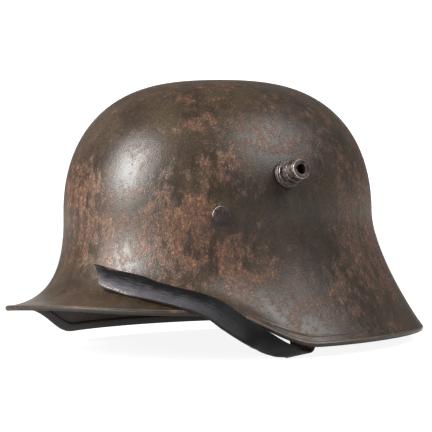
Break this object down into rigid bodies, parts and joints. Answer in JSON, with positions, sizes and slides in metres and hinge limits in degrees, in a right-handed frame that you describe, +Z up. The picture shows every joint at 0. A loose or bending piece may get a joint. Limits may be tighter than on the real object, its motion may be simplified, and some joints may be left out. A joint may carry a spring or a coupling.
{
  "type": "steel helmet",
  "caption": "Deep steel helmet with visor, ear step, flared skirt, vent lugs, split pins, padded leather liner and a folded leather chin strap.",
  "frame": {"origin": "centre of the helmet's outline box, at the height of the chin strap's fold, its lowest point", "axes": "+X to the front (visor), +Y to the wearer's left, +Z up through the crown"},
  "size_m": [0.3054, 0.2314, 0.172],
  "materials": {
    "shell_paint": "worn matt paint with rust",
    "lug_steel": "dark worn steel",
    "pin_paint": "dark worn paint",
    "washer_steel": "dull",
    "band_steel": "dull",
    "pad_leather": "matt",
    "cushion_cloth": "coarse weave",
    "rivet_steel": "dull",
    "cord": "twisted cord",
    "wire_steel": "dull",
    "strap_leather": "worn, slightly glossy"
  },
  "bodies": {
    "helmet": {"shell": "shell_paint", "left_vent_lug": "lug_steel", "right_vent_lug": "lug_steel", "left_lug_washer": "washer_steel", "right_lug_washer": "washer_steel", "left_split_pin": "pin_paint", "right_split_pin": "pin_paint", "rear_split_pin": "pin_paint", "pin_washers": "washer_steel", "liner_band": "band_steel", "left_liner_pad": "pad_leather", "right_liner_pad": "pad_leather", "rear_liner_pad": "pad_leather", "left_cushion": "cushion_cloth", "right_cushion": "cushion_cloth", "rear_cushion": "cushion_cloth", "liner_rivets": "rivet_steel", "drawstring": "cord", "drawstring_knot": "cord", "left_ring_tab": "band_steel", "right_ring_tab": "band_steel", "tab_rivets": "rivet_steel", "left_strap_ring": "wire_steel", "strap_inner_run": "strap_leather", "strap_rivets": "rivet_steel"},
    "outer_strap": {"strap_outer_run": "strap_leather"},
    "right_ring": {"right_strap_ring": "wire_steel"}
  },
  "joints": [
    {"name": "right_ring_swing", "type": "hinge", "parent": "helmet", "child": "right_ring", "pos_m": [0.00907, -0.08488, 0.07], "axis": [0.9975, 0.0707, 0], "range_deg": [-8, 80]},
    {"name": "strap_fold", "type": "hinge", "parent": "helmet", "child": "outer_strap", "pos_m": [0.04, 0.1002, 0.00253], "axis": [-0.7621, 0.5341, 0.366], "range_deg": [0, 45]}
  ]
}
